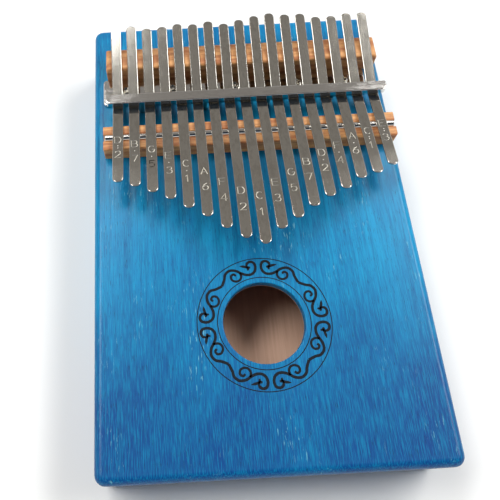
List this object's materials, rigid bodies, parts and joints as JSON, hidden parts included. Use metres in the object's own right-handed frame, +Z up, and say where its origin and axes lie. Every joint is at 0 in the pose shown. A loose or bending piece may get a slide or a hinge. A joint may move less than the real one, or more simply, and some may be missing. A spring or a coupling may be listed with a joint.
{
  "type": "box mbira",
  "caption": "Box mbira: hollow stained-wood box with a round sound hole, and spring-steel tines clamped by a bar between a wooden rest and a bridge with a rod.",
  "frame": {"origin": "middle of the underside of the box", "axes": "+X to the player's right across the tines, +Y from the playing end to the rear end, +Z up out of the soundboard"},
  "size_m": [0.131, 0.2, 0.0505],
  "materials": {
    "stained_mahogany": "satin",
    "bare_mahogany": "matte",
    "chrome_plate": "polished",
    "spring_steel": "polished",
    "nickel_screw": "polished"
  },
  "bodies": {
    "box": {"soundboard": "stained_mahogany", "back_plate": "stained_mahogany", "left_rail": "stained_mahogany", "right_rail": "stained_mahogany", "playing_end_block": "stained_mahogany", "rear_end_block": "stained_mahogany", "brace": "bare_mahogany", "rear_rest": "bare_mahogany", "front_bridge": "bare_mahogany", "bridge_rod": "chrome_plate", "pressure_bar": "chrome_plate", "base_plate": "chrome_plate", "base_plate_screws": "nickel_screw", "pressure_bar_screws": "nickel_screw", "tine_d6_shank": "spring_steel", "tine_b5_shank": "spring_steel", "tine_g5_shank": "spring_steel", "tine_e5_shank": "spring_steel", "tine_c5_shank": "spring_steel", "tine_a4_shank": "spring_steel", "tine_f4_shank": "spring_steel", "tine_d4_shank": "spring_steel", "tine_c4_shank": "spring_steel", "tine_e4_shank": "spring_steel", "tine_g4_shank": "spring_steel", "tine_b4_shank": "spring_steel", "tine_d5_shank": "spring_steel", "tine_f5_shank": "spring_steel", "tine_a5_shank": "spring_steel", "tine_c6_shank": "spring_steel", "tine_e6_shank": "spring_steel"},
    "tongue_d6": {"tine_d6_tongue": "spring_steel"},
    "tongue_b5": {"tine_b5_tongue": "spring_steel"},
    "tongue_g5": {"tine_g5_tongue": "spring_steel"},
    "tongue_e5": {"tine_e5_tongue": "spring_steel"},
    "tongue_c5": {"tine_c5_tongue": "spring_steel"},
    "tongue_a4": {"tine_a4_tongue": "spring_steel"},
    "tongue_f4": {"tine_f4_tongue": "spring_steel"},
    "tongue_d4": {"tine_d4_tongue": "spring_steel"},
    "tongue_c4": {"tine_c4_tongue": "spring_steel"},
    "tongue_e4": {"tine_e4_tongue": "spring_steel"},
    "tongue_g4": {"tine_g4_tongue": "spring_steel"},
    "tongue_b4": {"tine_b4_tongue": "spring_steel"},
    "tongue_d5": {"tine_d5_tongue": "spring_steel"},
    "tongue_f5": {"tine_f5_tongue": "spring_steel"},
    "tongue_a5": {"tine_a5_tongue": "spring_steel"},
    "tongue_c6": {"tine_c6_tongue": "spring_steel"},
    "tongue_e6": {"tine_e6_tongue": "spring_steel"}
  },
  "joints": [
    {"name": "pluck_d6", "type": "hinge", "parent": "box", "child": "tongue_d6", "pos_m": [-0.0542, 0.0352, 0.0399], "axis": [1, 0, 0], "range_deg": [-1.3, 1.3], "stiffness_Nm_per_rad": 6.94},
    {"name": "pluck_b5", "type": "hinge", "parent": "box", "child": "tongue_b5", "pos_m": [-0.0472, 0.0352, 0.0399], "axis": [1, 0, 0], "range_deg": [-1.4, 1.4], "stiffness_Nm_per_rad": 6.28},
    {"name": "pluck_g5", "type": "hinge", "parent": "box", "child": "tongue_g5", "pos_m": [-0.0402, 0.0352, 0.0399], "axis": [1, 0, 0], "range_deg": [-1.6, 1.6], "stiffness_Nm_per_rad": 5.6},
    {"name": "pluck_e5", "type": "hinge", "parent": "box", "child": "tongue_e5", "pos_m": [-0.0332, 0.0352, 0.0399], "axis": [1, 0, 0], "range_deg": [-1.8, 1.8], "stiffness_Nm_per_rad": 4.99},
    {"name": "pluck_c5", "type": "hinge", "parent": "box", "child": "tongue_c5", "pos_m": [-0.0262, 0.0352, 0.0399], "axis": [1, 0, 0], "range_deg": [-2.1, 2.1], "stiffness_Nm_per_rad": 4.39},
    {"name": "pluck_a4", "type": "hinge", "parent": "box", "child": "tongue_a4", "pos_m": [-0.0192, 0.0352, 0.0399], "axis": [1, 0, 0], "range_deg": [-2.3, 2.3], "stiffness_Nm_per_rad": 3.95},
    {"name": "pluck_f4", "type": "hinge", "parent": "box", "child": "tongue_f4", "pos_m": [-0.0122, 0.0352, 0.0399], "axis": [1, 0, 0], "range_deg": [-2.6, 2.6], "stiffness_Nm_per_rad": 3.48},
    {"name": "pluck_d4", "type": "hinge", "parent": "box", "child": "tongue_d4", "pos_m": [-0.0052, 0.0352, 0.0399], "axis": [1, 0, 0], "range_deg": [-2.8, 2.8], "stiffness_Nm_per_rad": 3.18},
    {"name": "pluck_c4", "type": "hinge", "parent": "box", "child": "tongue_c4", "pos_m": [0.0018, 0.0352, 0.0399], "axis": [1, 0, 0], "range_deg": [-3, 3], "stiffness_Nm_per_rad": 3.01},
    {"name": "pluck_e4", "type": "hinge", "parent": "box", "child": "tongue_e4", "pos_m": [0.0088, 0.0352, 0.0399], "axis": [1, 0, 0], "range_deg": [-2.7, 2.7], "stiffness_Nm_per_rad": 3.38},
    {"name": "pluck_g4", "type": "hinge", "parent": "box", "child": "tongue_g4", "pos_m": [0.0158, 0.0352, 0.0399], "axis": [1, 0, 0], "range_deg": [-2.4, 2.4], "stiffness_Nm_per_rad": 3.71},
    {"name": "pluck_b4", "type": "hinge", "parent": "box", "child": "tongue_b4", "pos_m": [0.0228, 0.0352, 0.0399], "axis": [1, 0, 0], "range_deg": [-2.2, 2.2], "stiffness_Nm_per_rad": 4.15},
    {"name": "pluck_d5", "type": "hinge", "parent": "box", "child": "tongue_d5", "pos_m": [0.0298, 0.0352, 0.0399], "axis": [1, 0, 0], "range_deg": [-2, 2], "stiffness_Nm_per_rad": 4.62},
    {"name": "pluck_f5", "type": "hinge", "parent": "box", "child": "tongue_f5", "pos_m": [0.0368, 0.0352, 0.0399], "axis": [1, 0, 0], "range_deg": [-1.8, 1.8], "stiffness_Nm_per_rad": 5.08},
    {"name": "pluck_a5", "type": "hinge", "parent": "box", "child": "tongue_a5", "pos_m": [0.0438, 0.0352, 0.0399], "axis": [1, 0, 0], "range_deg": [-1.5, 1.5], "stiffness_Nm_per_rad": 5.88},
    {"name": "pluck_c6", "type": "hinge", "parent": "box", "child": "tongue_c6", "pos_m": [0.0508, 0.0352, 0.0399], "axis": [1, 0, 0], "range_deg": [-1.4, 1.4], "stiffness_Nm_per_rad": 6.37},
    {"name": "pluck_e6", "type": "hinge", "parent": "box", "child": "tongue_e6", "pos_m": [0.0578, 0.0352, 0.0399], "axis": [1, 0, 0], "range_deg": [-1.2, 1.2], "stiffness_Nm_per_rad": 7.43}
  ]
}
